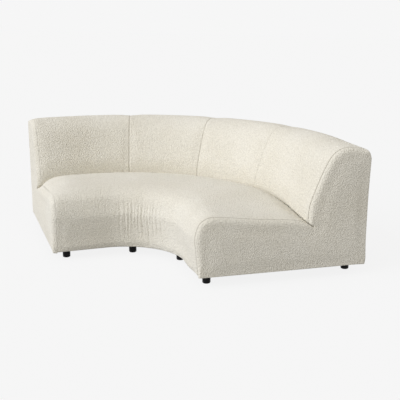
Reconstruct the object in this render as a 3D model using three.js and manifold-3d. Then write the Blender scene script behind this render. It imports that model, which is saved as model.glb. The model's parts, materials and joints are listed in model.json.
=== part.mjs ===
// A curved armless sofa covered in cream boucle, as the separate pieces that it is built from:
// legs and bolts, a plywood frame, webbing, foam, wadding and the sewn covers.
// Millimetres, +Z up. The hollow side of the curve faces -Y, and the origin lies on the floor
// under the middle of the sofa.

import * as THREE from "three";
import Module from "manifold-3d";
import { mergeVertices } from "three/addons/utils/BufferGeometryUtils.js";

const wasm = await Module();
wasm.setup();

// Plan: an arc with a straight stretch at each end, the same depth all along
const FRONT_RADIUS = 380;
const HALF_ANGLE = THREE.MathUtils.degToRad(46.8);
const STRAIGHT_END = 340;
const BODY_DEPTH = 1040;
const MIDDLE_DEPTH = 500;

// Seat: heights from the floor, depths from the foot of the front face
const UNDERSIDE = 60;
const SEAT_HEIGHT = 408;
const NOSE_REACH = 111;
const SEAT_CROWN = 62;
const CREVICE_DROP = 97;
const CREVICE_RISE = 48;
const CREVICE_ADVANCE = 22;
const CREVICE_GAP = 1.5;
const BACK_FOOT_EASE = 5;
const LEFT_CROWN_FADE = 130;
const RIGHT_CROWN_FADE = 590;

// Back
const TOTAL_HEIGHT = 766;
const BACK_THICKNESS = 338;
const REAR_SEAM_DROP = 66;
const REAR_SWELL = 5;
const LEFT_SEAM_ANGLE = THREE.MathUtils.degToRad(-30);
const MIDDLE_SEAM_ANGLE = THREE.MathUtils.degToRad(-3);
const RIGHT_SEAM_ANGLE = THREE.MathUtils.degToRad(24);
const SEAM_DRAW = 5;
const SEAM_REACH = 25;

// Rolled edges of the ends: their reach along the sofa, and in from the outline
const EDGE_ROLL = 28;
const EDGE_ROUND = 36;
const EDGE_ROLL_FADE = 120;
const NOTCH_ROLL_FADE = 110;

// Layers and fits
const COVER = 2.5;
const GAP = 0.3;
const RIB_FIT = 1;
const TUCK_UNDER = 58;
const TUCK_LEAN = 38;
const TUCK_EASE = 3;
const DUST_COVER = 1.2;

// Frame
const FRONT_FOAM = 50;
const SEAT_FOAM = 136;
const TOP_FOAM = 49;
const REAR_PADDING = 24;
const BACK_FOOT_FOAM = 22;
const BOARD = 4;
const RIB = 18;
const RAIL = 22;
const BASE_RAIL_WIDTH = 90;
const DECK_RAIL_WIDTH = 70;
const TOP_RAIL_WIDTH = 156;
const TOP_RAIL_SETBACK = 6;
const WEBBING = 2;
const WEBBING_WIDTH = 50;
const WEBBING_FRONT_HOLD = 55;
const WEBBING_REAR_HOLD = 19;

// Legs
const LEG_RADIUS = 24;
const LEG_ROUND = 7;
const LEG_EDGE_INSET = 80;
const FRONT_LEG_END_INSET = 95;
const REAR_LEG_END_INSET = 124;
const LEFT_LEG_ANGLE = THREE.MathUtils.degToRad(-24);
const RIGHT_LEG_ANGLE = THREE.MathUtils.degToRad(20.5);
const BOLT_RADIUS = 4;
const BOLT_IN_LEG = 30;
const BOLT_HOLE_EASE = 0.4;
const DUST_HOLE_EASE = 2;
const OVERRUN = 5;

// Counts
const STRAPS_PER_BAY = 3;
const BEND_STEPS = 2;
const PANEL_STEPS = 4;
const STRAIGHT_STEPS = 3;
const SEAT_STEPS = 16;
const BACK_STEPS = 15;
const REAR_STEPS = 6;
const ROLL_STEPS = 3;
const LEG_SIDES = 20;
const BOLT_SIDES = 12;

// Shares: the front face and nose, as shares of the nose's reach and of the seat's height above
// the underside, with the share of the crown that lifts each point
const FRONT_SHARES = [
  [0.11, 0, 0],
  [-0.04, 0.5, 0],
  [-0.075, 0.66, 0],
  [0.075, 0.84, 0.1],
  [0.35, 0.95, 0.15],
  [1, 1, 0.22],
];
// The seat's top behind the nose: shares of the way to the crevice, of the crevice's drop, of the crown
const SLOPE_SHARES = [
  [0.396, 0.277, 0.85],
  [0.832, 0.545, 0.95],
];
// The back: shares of its thickness at the crevice and of its height above its foot on the seat
const BACK_SHARES = [
  [-0.095, 0],
  [-0.095, 0.126],
  [-0.065, 0.27],
  [0.045, 0.499],
  [0.18, 0.737],
  [0.325, 0.917],
  [0.53, 1],
  [0.78, 0.99],
  [0.955, 0.952],
];
// The outer back: shares of its swell and of its height above the underside
const REAR_SHARES = [
  [1, 1],
  [-0.6, 0.66],
  [-1, 0.28],
  [-0.8, 0.08],
  [-2.4, 0],
];
const REAR_ROLL_SHARE = 0.25;
const BOTTOM_ROLL_SHARE = 0.15;
const NOTCH_ROLL_SHARE = 0.08;
const LEAST_MITRE_SHARE = 0.6;
const REAR_ROLL_REACH_SHARE = 2;
const FOLD_SHARE = 0.6;

// Colours
const BOUCLE = "#ebe5d9";
const FOAM = "#e9dfb8";
const WADDING = "#f1f0ec";
const PLYWOOD = "#c8a676";
const HARDBOARD = "#86684a";
const ELASTIC = "#2e2c2b";
const LEG_BLACK = "#151517";
const STEEL = "#9b9da1";
const NONWOVEN = "#1d1d1f";
const SOFT_ROUGHNESS = 0.95;
const WOOD_ROUGHNESS = 0.7;
const LEG_ROUGHNESS = 0.45;
const STEEL_ROUGHNESS = 0.35;

// Worked out from the sizes above
const MIDDLE_RADIUS = FRONT_RADIUS + MIDDLE_DEPTH;
const BEND_END = HALF_ANGLE * MIDDLE_RADIUS;
const HALF_LENGTH = BEND_END + STRAIGHT_END;
const END_SEAM = HALF_LENGTH - EDGE_ROLL;
const SEAMS = [LEFT_SEAM_ANGLE, MIDDLE_SEAM_ANGLE, RIGHT_SEAM_ANGLE].map((angle) => angle * MIDDLE_RADIUS);
const CREVICE_DEPTH = BODY_DEPTH - BACK_THICKNESS;
const CREVICE_HEIGHT = SEAT_HEIGHT - CREVICE_DROP;
const REAR_SEAM_HEIGHT = TOTAL_HEIGHT - REAR_SEAM_DROP;
const FRAME_BOTTOM = UNDERSIDE + COVER + GAP;
const DECK = SEAT_HEIGHT - SEAT_FOAM;
const TOP_RAIL_TOP = TOTAL_HEIGHT - TOP_FOAM;
const FRAME_FRONT = FRONT_FOAM + BOARD + GAP;
const OUTER_BOARD_FACE = BODY_DEPTH - REAR_PADDING;
const FRAME_REAR = OUTER_BOARD_FACE - BOARD - GAP;
const TUCK_FOOT = CREVICE_DEPTH + TUCK_LEAN;
const BACK_BOARD_FOOT = TUCK_FOOT + BACK_FOOT_FOAM;
const TOP_RAIL_FRONT = FRAME_REAR - TOP_RAIL_WIDTH;
const BACK_BOARD_TOP = TOP_RAIL_FRONT - TOP_RAIL_SETBACK;
const TUCK_FRONT = FRONT_SHARES[0][0] * NOSE_REACH + TUCK_UNDER;
const REAR_FOOT = BODY_DEPTH + REAR_SWELL * REAR_SHARES[REAR_SHARES.length - 1][0];
const TUCK_REAR = REAR_FOOT - TUCK_UNDER;
const REAR_RAIL_FRONT = TUCK_FOOT - DECK_RAIL_WIDTH / 2;
const REAR_RAIL_REAR = TUCK_FOOT + DECK_RAIL_WIDTH / 2;

const sofa = new THREE.Group();

// Where a point stands: along the middle line from the sofa's centre, back from the foot of the
// front face, and up from the floor
function place(along, depth, height) {
  const bend = THREE.MathUtils.clamp(along, -BEND_END, BEND_END);
  const angle = bend / MIDDLE_RADIUS;
  const run = along - bend;
  const radius = FRONT_RADIUS + depth;
  const x = Math.sin(angle) * radius + Math.cos(angle) * run;
  const y = Math.cos(angle) * radius - Math.sin(angle) * run;
  return new THREE.Vector3(x, y, height);
}

// Turns a flat piece, drawn as depth and height, to stand across the sofa at one place
function standAcross(mesh, along) {
  const origin = place(along, 0, 0);
  const back = place(along, BODY_DEPTH, 0).sub(origin).normalize();
  const up = new THREE.Vector3(0, 0, 1);
  const side = new THREE.Vector3().crossVectors(back, up);
  mesh.quaternion.setFromRotationMatrix(new THREE.Matrix4().makeBasis(back, up, side));
  mesh.position.copy(origin);
  return mesh;
}

function evenSteps(from, to, steps) {
  return Array.from({ length: steps + 1 }, (_, i) => from + ((to - from) * i) / steps);
}

// Places of the cross-sections, from end seam to end seam through each panel seam
function crossSections() {
  const [left, middle, right] = SEAMS;
  return [
    ...evenSteps(-END_SEAM, -BEND_END, STRAIGHT_STEPS),
    ...evenSteps(-BEND_END, left, BEND_STEPS).slice(1),
    ...evenSteps(left, middle, PANEL_STEPS).slice(1),
    ...evenSteps(middle, right, PANEL_STEPS).slice(1),
    ...evenSteps(right, BEND_END, BEND_STEPS).slice(1),
    ...evenSteps(BEND_END, END_SEAM, STRAIGHT_STEPS).slice(1),
  ];
}

// The same with one more on each side of each panel seam, where the back is drawn in
function seamSections() {
  const beside = SEAMS.flatMap((seam) => [seam - SEAM_REACH, seam + SEAM_REACH]);
  return [...crossSections(), ...beside].sort((a, b) => a - b);
}

const PLAIN_SECTIONS = crossSections();
const SEAM_SECTIONS = seamSections();

function sectionsBetween(sections, from, to) {
  const inside = sections.filter((along) => along > from + GAP && along < to - GAP);
  return [from, ...inside, to];
}

// 1 where the seat is fully crowned, falling to 0 at the end seams
function crownAt(along) {
  const fade = along < 0 ? LEFT_CROWN_FADE : RIGHT_CROWN_FADE;
  return THREE.MathUtils.smoothstep(END_SEAM - Math.abs(along), 0, fade);
}

// How far a panel seam draws the cover in
function seamDrawAt(along) {
  const nearest = Math.min(...SEAMS.map((seam) => Math.abs(along - seam)));
  return SEAM_DRAW * Math.max(0, 1 - nearest / SEAM_REACH);
}

function point(depth, height) {
  return new THREE.Vector2(depth, height);
}

function smoothLine(points, steps) {
  return new THREE.SplineCurve(points).getPoints(steps);
}

function creviceAt(along) {
  const crown = crownAt(along);
  return point(CREVICE_DEPTH - CREVICE_ADVANCE * crown, CREVICE_HEIGHT + CREVICE_RISE * crown);
}

// The seat's skin from the foot of the front face, over the nose, to the crevice
function seatLine(along) {
  const lift = SEAT_CROWN * crownAt(along);
  const crevice = creviceAt(along);
  const rise = SEAT_HEIGHT - UNDERSIDE;
  const front = FRONT_SHARES.map(([reach, height, crown]) =>
    point(NOSE_REACH * reach, UNDERSIDE + rise * height + lift * crown));
  const slope = SLOPE_SHARES.map(([way, drop, crown]) =>
    point(NOSE_REACH + (crevice.x - NOSE_REACH) * way, SEAT_HEIGHT - CREVICE_DROP * drop + lift * crown));
  return smoothLine([...front, ...slope, crevice], SEAT_STEPS);
}

// How high a line stands at one depth
function heightOn(line, depth) {
  const after = line.findIndex((here, i) => i > 0 && line[i - 1].x <= depth && here.x >= depth);
  const [from, to] = [line[after - 1], line[after]];
  return from.y + ((to.y - from.y) * (depth - from.x)) / (to.x - from.x);
}

// The back's skin from the crevice, forwards along the seat, up its face and over the top, to the
// rear seam
function backLine(along) {
  const start = creviceAt(along);
  start.x += CREVICE_GAP;
  const seam = point(BODY_DEPTH + REAR_SWELL, REAR_SEAM_HEIGHT);
  const footDepth = CREVICE_DEPTH + BACK_THICKNESS * BACK_SHARES[0][0];
  const footHeight = heightOn(seatLine(along), footDepth) + BACK_FOOT_EASE;
  const rise = TOTAL_HEIGHT - footHeight;
  const face = BACK_SHARES.map(([depth, height]) =>
    point(CREVICE_DEPTH + BACK_THICKNESS * depth, footHeight + rise * height));
  return [start, ...smoothLine([...face, seam], BACK_STEPS)];
}

// The outer back's skin from the rear seam down to its foot
function rearLine() {
  const rise = REAR_SEAM_HEIGHT - UNDERSIDE;
  const points = REAR_SHARES.map(([swell, height]) =>
    point(BODY_DEPTH + REAR_SWELL * swell, UNDERSIDE + rise * height));
  return smoothLine(points, REAR_STEPS);
}

// Moves each point of a line to its right, the inside of the sofa, by one distance or by its own
function inset(line, distance, closed = false) {
  const last = line.length - 1;
  return line.map((here, i) => {
    const before = line[i > 0 ? i - 1 : closed ? last : 0];
    const after = line[i < last ? i + 1 : closed ? 0 : last];
    const arriving = here.clone().sub(before).normalize();
    const leaving = after.clone().sub(here).normalize();
    const way = arriving.clone().add(leaving).normalize();
    const turn = arriving.lengthSq() > 0 && leaving.lengthSq() > 0 ? way.dot(leaving) : 1;
    const far = (Array.isArray(distance) ? distance[i] : distance) / Math.max(turn, LEAST_MITRE_SHARE);
    return point(here.x + way.y * far, here.y - way.x * far);
  });
}

function shifted(line, distance) {
  return line.map((here) => point(here.x + distance, here.y));
}

function anticlockwise(outline) {
  return THREE.ShapeUtils.area(outline) < 0 ? [...outline].reverse() : outline;
}

// Sets a line inwards, with both its ends kept level or plumb with the ends of the first line
function insetSquare(line, thickness) {
  const inner = inset(line, thickness);
  const last = line.length - 1;
  for (const [end, beside] of [[0, 1], [last, last - 1]]) {
    const way = line[end].clone().sub(line[beside]);
    if (Math.abs(way.y) > Math.abs(way.x)) inner[end].y = line[end].y;
    else inner[end].x = line[end].x;
  }
  return inner;
}

// A sheet that follows a line: the line, and the same line set inwards by the sheet's thickness
function sheetAlong(line, thickness) {
  return anticlockwise([...line, ...insetSquare(line, thickness).reverse()]);
}

function rectangle(front, rear, bottom, top) {
  return [point(front, bottom), point(rear, bottom), point(rear, top), point(front, top)];
}

// Triangles of a flat outline, turned the way the outline turns
function flatTriangles(outline) {
  const turn = Math.sign(THREE.ShapeUtils.area(outline));
  return THREE.ShapeUtils.triangulateShape(outline, []).map(([a, b, c]) => {
    const same = Math.sign(THREE.ShapeUtils.area([outline[a], outline[b], outline[c]])) === turn;
    return same ? [a, b, c] : [a, c, b];
  });
}

// Which way a four-sided patch is folded into triangles. It depends on the patch's own direction
// alone, so that a cover and the foam inside it are folded alike and don't cross
function foldsForward(near, far, i, next) {
  const step = near.outline[next].clone().sub(near.outline[i]);
  step.add(far.outline[next]).sub(far.outline[i]);
  return (step.x + step.y * FOLD_SHARE) * (far.along - near.along) > 0;
}

// A closed solid through outlines of the same number of points, each at its place along the sofa
function loft(rings) {
  const count = rings[0].outline.length;
  const positions = [];
  const faces = [];
  for (const { along, outline } of rings) {
    for (const { x, y } of outline) positions.push(...place(along, x, y).toArray());
  }
  for (let ring = 0; ring + 1 < rings.length; ring++) {
    for (let i = 0; i < count; i++) {
      const next = (i + 1) % count;
      const [a, b] = [ring * count + i, ring * count + next];
      const [c, d] = [b + count, a + count];
      const forward = foldsForward(rings[ring], rings[ring + 1], i, next);
      faces.push(...(forward ? [a, b, c, a, c, d] : [a, b, d, b, c, d]));
    }
  }
  const far = (rings.length - 1) * count;
  const farOutline = rings[rings.length - 1].outline;
  for (const [a, b, c] of flatTriangles(rings[0].outline)) faces.push(a, c, b);
  for (const triangle of flatTriangles(farOutline)) faces.push(...triangle.map((i) => far + i));
  const geometry = new THREE.BufferGeometry();
  geometry.setAttribute("position", new THREE.Float32BufferAttribute(positions, 3));
  geometry.setIndex(faces);
  return geometry;
}

// A solid whose outline is worked out at each cross-section
function sweep(outlineAt, from, to, sections = PLAIN_SECTIONS) {
  const places = sectionsBetween(sections, from, to);
  return loft(places.map((along) => ({ along, outline: outlineAt(along) })));
}

// The full length between the end seams
function sweepAll(outlineAt, sections = PLAIN_SECTIONS) {
  return sweep(outlineAt, -END_SEAM + GAP, END_SEAM - GAP, sections);
}

function asSolid(geometry) {
  const bare = geometry.clone();
  bare.deleteAttribute("normal");
  bare.deleteAttribute("uv");
  const merged = mergeVertices(bare);
  const vertProperties = merged.attributes.position.array;
  const triVerts = new Uint32Array(merged.index.array);
  return new wasm.Manifold(new wasm.Mesh({ numProp: 3, vertProperties, triVerts }));
}

function asGeometry(solid) {
  const { vertProperties, triVerts } = solid.getMesh();
  const geometry = new THREE.BufferGeometry();
  geometry.setAttribute("position", new THREE.Float32BufferAttribute(vertProperties, 3));
  geometry.setIndex(Array.from(triVerts));
  return geometry;
}

function uprightCylinder(radius, bottom, top, sides) {
  const geometry = new THREE.CylinderGeometry(radius, radius, top - bottom, sides);
  geometry.rotateX(Math.PI / 2);
  geometry.translate(0, 0, (bottom + top) / 2);
  return geometry;
}

function drilled(geometry, centres, radius, bottom, top) {
  const solid = centres.reduce((rest, centre) => {
    const drill = uprightCylinder(radius, bottom - OVERRUN, top + OVERRUN, BOLT_SIDES);
    drill.translate(centre.x, centre.y, 0);
    return rest.subtract(asSolid(drill));
  }, asSolid(geometry));
  return asGeometry(solid);
}

function addPiece(name, geometry, colour, roughness, metalness = 0) {
  const material = new THREE.MeshStandardMaterial({ color: colour, roughness, metalness });
  const mesh = new THREE.Mesh(geometry, material);
  mesh.name = name;
  sofa.add(mesh);
  return mesh;
}

// Eight places for the legs: four near the corners and four inside the bend
function legPlaces() {
  const left = LEFT_LEG_ANGLE * MIDDLE_RADIUS;
  const right = RIGHT_LEG_ANGLE * MIDDLE_RADIUS;
  const frontEnd = HALF_LENGTH - FRONT_LEG_END_INSET;
  const rearEnd = HALF_LENGTH - REAR_LEG_END_INSET;
  const frontDepth = LEG_EDGE_INSET;
  const rearDepth = BODY_DEPTH - LEG_EDGE_INSET;
  return [
    { name: "front_left", row: "front", centre: place(-frontEnd, frontDepth, 0) },
    { name: "front_mid_left", row: "front", centre: place(left, frontDepth, 0) },
    { name: "front_mid_right", row: "front", centre: place(right, frontDepth, 0) },
    { name: "front_right", row: "front", centre: place(frontEnd, frontDepth, 0) },
    { name: "rear_left", row: "rear", centre: place(-rearEnd, rearDepth, 0) },
    { name: "rear_mid_left", row: "rear", centre: place(left, rearDepth, 0) },
    { name: "rear_mid_right", row: "rear", centre: place(right, rearDepth, 0) },
    { name: "rear_right", row: "rear", centre: place(rearEnd, rearDepth, 0) },
  ];
}

const LEGS = legPlaces();
const LEG_HEIGHT = UNDERSIDE - GAP;
const BOLT_BOTTOM = LEG_HEIGHT - BOLT_IN_LEG;
const BASE_RAIL_TOP = FRAME_BOTTOM + RAIL;

// A round black plastic leg with a rounded foot and a blind hole for its bolt
function makeLeg(leg) {
  const hole = BOLT_RADIUS + BOLT_HOLE_EASE;
  const rounded = [0, Math.PI / 4, Math.PI / 2].map((angle) =>
    point(LEG_RADIUS - LEG_ROUND + LEG_ROUND * Math.sin(angle), LEG_ROUND - LEG_ROUND * Math.cos(angle)));
  const profile = [
    point(0, 0),
    ...rounded,
    point(LEG_RADIUS, LEG_HEIGHT),
    point(hole, LEG_HEIGHT),
    point(hole, BOLT_BOTTOM - GAP),
    point(0, BOLT_BOTTOM - GAP),
  ];
  const geometry = new THREE.LatheGeometry(profile, LEG_SIDES);
  geometry.rotateX(Math.PI / 2);
  addPiece(`leg_${leg.name}`, geometry, LEG_BLACK, LEG_ROUGHNESS).position.copy(leg.centre);
}

function makeLegBolt(leg) {
  const geometry = uprightCylinder(BOLT_RADIUS, BOLT_BOTTOM, BASE_RAIL_TOP, BOLT_SIDES);
  addPiece(`leg_bolt_${leg.name}`, geometry, STEEL, STEEL_ROUGHNESS, 1).position.copy(leg.centre);
}

function centresOf(row) {
  return LEGS.filter((leg) => leg.row === row).map((leg) => leg.centre);
}

// Curved plywood rails under the frame, with a hole for each leg bolt
function makeBaseRail(row, front, rear) {
  const outline = rectangle(front, rear, FRAME_BOTTOM, BASE_RAIL_TOP);
  const plain = sweepAll(() => outline);
  const hole = BOLT_RADIUS + BOLT_HOLE_EASE;
  const rail = drilled(plain, centresOf(row), hole, FRAME_BOTTOM, BASE_RAIL_TOP);
  addPiece(`${row}_base_rail`, rail, PLYWOOD, WOOD_ROUGHNESS);
}

function makeRail(name, front, rear, top) {
  const outline = rectangle(front, rear, top - RAIL, top);
  addPiece(name, sweepAll(() => outline), PLYWOOD, WOOD_ROUGHNESS);
}

// The line of the board behind the back's foam, from the deck up to the top rail
function backBoardLine() {
  return [
    point(BACK_BOARD_FOOT, DECK + GAP),
    point(BACK_BOARD_TOP, TOP_RAIL_TOP - RAIL - GAP),
  ];
}

// An L-shaped plywood rib, notched round the deck rails
function ribOutline() {
  const bottom = BASE_RAIL_TOP + GAP;
  const notch = DECK - RAIL - GAP;
  const [boardFoot, boardTop] = shifted(backBoardLine(), BOARD + RIB_FIT);
  return [
    point(FRAME_FRONT + RIB_FIT, bottom),
    point(FRAME_REAR - RIB_FIT, bottom),
    point(FRAME_REAR - RIB_FIT, boardTop.y),
    boardTop,
    boardFoot,
    point(REAR_RAIL_REAR + RIB_FIT, DECK + GAP),
    point(REAR_RAIL_REAR + RIB_FIT, notch),
    point(REAR_RAIL_FRONT - RIB_FIT, notch),
    point(REAR_RAIL_FRONT - RIB_FIT, DECK),
    point(FRAME_FRONT + DECK_RAIL_WIDTH + RIB_FIT, DECK),
    point(FRAME_FRONT + DECK_RAIL_WIDTH + RIB_FIT, notch),
    point(FRAME_FRONT + RIB_FIT, notch),
  ];
}

function makeRib(name, along) {
  const shape = new THREE.Shape(ribOutline());
  const geometry = new THREE.ExtrudeGeometry(shape, { depth: RIB, bevelEnabled: false });
  geometry.translate(0, 0, -RIB / 2);
  standAcross(addPiece(name, geometry, PLYWOOD, WOOD_ROUGHNESS), along);
}

function makeRibs() {
  const end = END_SEAM - GAP - RIB / 2;
  const [left, middle, right] = SEAMS;
  makeRib("rib_left_end", -end);
  makeRib("rib_left_seam", left);
  makeRib("rib_middle", middle);
  makeRib("rib_right_seam", right);
  makeRib("rib_right_end", end);
}

// Thin boards bent round the frame: in front, behind the back's foam and at the rear
function makeBoards() {
  const front = rectangle(FRONT_FOAM, FRONT_FOAM + BOARD, FRAME_BOTTOM, DECK);
  const line = backBoardLine();
  const inner = anticlockwise([...line, ...shifted(line, BOARD).reverse()]);
  const outer = rectangle(OUTER_BOARD_FACE - BOARD, OUTER_BOARD_FACE, FRAME_BOTTOM, TOP_RAIL_TOP);
  addPiece("front_board", sweepAll(() => front), HARDBOARD, WOOD_ROUGHNESS);
  addPiece("inner_back_board", sweepAll(() => inner, SEAM_SECTIONS), HARDBOARD, WOOD_ROUGHNESS);
  addPiece("outer_back_board", sweepAll(() => outer), HARDBOARD, WOOD_ROUGHNESS);
}

// Elastic webbing from the front deck rail to the rear one, the same number in each bay
function makeWebbing() {
  const front = FRAME_FRONT + DECK_RAIL_WIDTH - WEBBING_FRONT_HOLD;
  const rear = REAR_RAIL_FRONT + WEBBING_REAR_HOLD;
  const bays = [-END_SEAM + RIB, ...SEAMS, END_SEAM - RIB];
  let number = 0;
  for (let bay = 0; bay + 1 < bays.length; bay++) {
    for (const along of evenSteps(bays[bay], bays[bay + 1], STRAPS_PER_BAY + 1).slice(1, -1)) {
      number += 1;
      const geometry = new THREE.BoxGeometry(rear - front, WEBBING, WEBBING_WIDTH);
      geometry.translate((front + rear) / 2, DECK + GAP + WEBBING / 2, 0);
      standAcross(addPiece(`webbing_strap_${number}`, geometry, ELASTIC, SOFT_ROUGHNESS), along);
    }
  }
}

// The seat cover's path: folded under, up the front, over the seat and down into the crevice
function seatCoverLine(along) {
  return [point(TUCK_FRONT, UNDERSIDE), ...seatLine(along), point(TUCK_FOOT, DECK + GAP)];
}

// A back cover's path: out of the crevice, up the back and over the top, drawn in at the seams
function backCoverLine(along) {
  const foot = point(TUCK_FOOT + CREVICE_GAP, DECK + GAP);
  const line = backLine(along);
  return [foot, line[0], ...insetSquare(line, seamDrawAt(along)).slice(1)];
}

// Foam under the seat cover: the nose, the seat and the front face in one piece
function seatFoamOutline(along) {
  const skin = insetSquare(seatCoverLine(along), COVER + GAP).slice(1);
  skin[0].y = FRAME_BOTTOM;
  const deck = DECK + 2 * GAP + WEBBING;
  const foot = skin.pop();
  const crevice = skin[skin.length - 1];
  const way = (deck - foot.y) / (crevice.y - foot.y);
  return anticlockwise([
    ...skin,
    point(foot.x + (crevice.x - foot.x) * way - TUCK_EASE, deck),
    point(FRONT_FOAM - GAP, deck),
    point(FRONT_FOAM - GAP, FRAME_BOTTOM),
  ]);
}

// Foam behind a back cover: the face and the top in one piece
function backFoamOutline(along) {
  const skin = insetSquare(backCoverLine(along), COVER + GAP);
  const [boardFoot, boardTop] = shifted(backBoardLine(), -GAP);
  return anticlockwise([
    ...skin,
    point(OUTER_BOARD_FACE + GAP, REAR_SEAM_HEIGHT),
    point(OUTER_BOARD_FACE + GAP, TOP_RAIL_TOP + GAP),
    point(boardTop.x, TOP_RAIL_TOP + GAP),
    boardTop,
    boardFoot,
  ]);
}

function makeSeat() {
  addPiece("seat_foam", sweepAll(seatFoamOutline), FOAM, SOFT_ROUGHNESS);
  const cover = sweepAll((along) => sheetAlong(seatCoverLine(along), COVER));
  addPiece("seat_cover", cover, BOUCLE, SOFT_ROUGHNESS);
}

// Four back panels, from end seam to panel seam to panel seam
function makeBackPanels() {
  const edges = [-END_SEAM + GAP / 2, ...SEAMS, END_SEAM - GAP / 2];
  for (let panel = 0; panel + 1 < edges.length; panel++) {
    const from = edges[panel] + GAP / 2;
    const to = edges[panel + 1] - GAP / 2;
    const cover = (along) => sheetAlong(backCoverLine(along), COVER);
    const foam = sweep(backFoamOutline, from, to, SEAM_SECTIONS);
    addPiece(`back_foam_${panel + 1}`, foam, FOAM, SOFT_ROUGHNESS);
    addPiece(`back_cover_${panel + 1}`, sweep(cover, from, to, SEAM_SECTIONS), BOUCLE, SOFT_ROUGHNESS);
  }
}

// Wadding and cover on the outer back, the cover folded under the frame
function makeOuterBack() {
  const top = REAR_SEAM_HEIGHT - GAP;
  const skin = rearLine();
  skin[0].y = top;
  const padded = insetSquare(skin, COVER + GAP);
  padded[padded.length - 1].y = FRAME_BOTTOM;
  const face = OUTER_BOARD_FACE + GAP;
  const wadding = anticlockwise([...padded, point(face, FRAME_BOTTOM), point(face, top)]);
  const cover = sheetAlong([...skin, point(TUCK_REAR, UNDERSIDE)], COVER);
  addPiece("outer_back_padding", sweepAll(() => wadding), WADDING, SOFT_ROUGHNESS);
  addPiece("outer_back_cover", sweepAll(() => cover), BOUCLE, SOFT_ROUGHNESS);
}

// How much of the rolled edge a point of the end's outline gets: little at the bottom, the rear and
// the crevice, where the seat and the back press on each other
function rollShare({ x, y }) {
  const low = THREE.MathUtils.smoothstep(y, UNDERSIDE, UNDERSIDE + EDGE_ROLL_FADE);
  const rear = THREE.MathUtils.smoothstep(x, BODY_DEPTH - REAR_ROLL_REACH_SHARE * EDGE_ROUND, BODY_DEPTH);
  const upright = THREE.MathUtils.lerp(1, REAR_ROLL_SHARE, rear);
  const away = point(x, y).distanceTo(creviceAt(END_SEAM));
  const open = THREE.MathUtils.smoothstep(away, 0, NOTCH_ROLL_FADE);
  const notch = THREE.MathUtils.lerp(NOTCH_ROLL_SHARE, 1, open);
  return upright * notch * THREE.MathUtils.lerp(BOTTOM_ROLL_SHARE, 1, low);
}

// The end's rolled edge as rings from the seam plane to the flat end, set in by one layer
function rollRings(side, layer) {
  const outline = [...seatLine(END_SEAM), ...backLine(END_SEAM), ...rearLine().slice(1)];
  return evenSteps(0, Math.PI / 2, ROLL_STEPS).map((angle) => {
    const round = (EDGE_ROUND - layer) * (1 - Math.cos(angle));
    const distances = outline.map((here) => layer + round * rollShare(here));
    const ring = inset(outline, distances, true);
    const along = side * (HALF_LENGTH - layer - (EDGE_ROLL - layer) * (1 - Math.sin(angle)));
    return { along, outline: side > 0 ? ring.reverse() : ring };
  });
}

// Padding and cover of one end: a flat L-shaped panel with a rolled edge
function makeEnd(name, side) {
  const padding = loft(rollRings(side, COVER + GAP));
  const inside = rollRings(side, COVER).reverse();
  const cover = loft([...inside, ...rollRings(side, 0)]);
  addPiece(`end_padding_${name}`, padding, FOAM, SOFT_ROUGHNESS);
  addPiece(`end_cover_${name}`, cover, BOUCLE, SOFT_ROUGHNESS);
}

// Black cloth stapled under the frame, with a hole for each leg bolt
function makeDustCover() {
  const top = FRAME_BOTTOM - GAP;
  const bottom = top - DUST_COVER;
  const outline = rectangle(TUCK_FRONT + GAP, TUCK_REAR - GAP, bottom, top);
  const centres = LEGS.map((leg) => leg.centre);
  const cloth = drilled(sweepAll(() => outline), centres, BOLT_RADIUS + DUST_HOLE_EASE, bottom, top);
  addPiece("dust_cover", cloth, NONWOVEN, SOFT_ROUGHNESS);
}

for (const leg of LEGS) {
  makeLeg(leg);
  makeLegBolt(leg);
}
makeBaseRail("front", FRAME_FRONT, FRAME_FRONT + BASE_RAIL_WIDTH);
makeBaseRail("rear", FRAME_REAR - BASE_RAIL_WIDTH, FRAME_REAR);
makeRail("front_deck_rail", FRAME_FRONT, FRAME_FRONT + DECK_RAIL_WIDTH, DECK);
makeRail("rear_deck_rail", REAR_RAIL_FRONT, REAR_RAIL_REAR, DECK);
makeRail("back_top_rail", TOP_RAIL_FRONT, FRAME_REAR, TOP_RAIL_TOP);
makeRibs();
makeBoards();
makeWebbing();
makeSeat();
makeBackPanels();
makeOuterBack();
makeEnd("left", -1);
makeEnd("right", 1);
makeDustCover();

// The origin moves to the floor under the middle of the whole sofa
const bounds = new THREE.Box3().setFromObject(sofa);
const middle = bounds.getCenter(new THREE.Vector3());
sofa.position.set(-middle.x, -middle.y, -bounds.min.z);
sofa.updateMatrixWorld(true);

export default sofa;
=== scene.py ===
# The looks of a curved armless sofa: cream looped fabric over foam, with sewn seams, rolled edges
# and gathers, short black legs, and a soft white studio. Metres, +Z up, in the frame's own axes.

import json
import math

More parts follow.
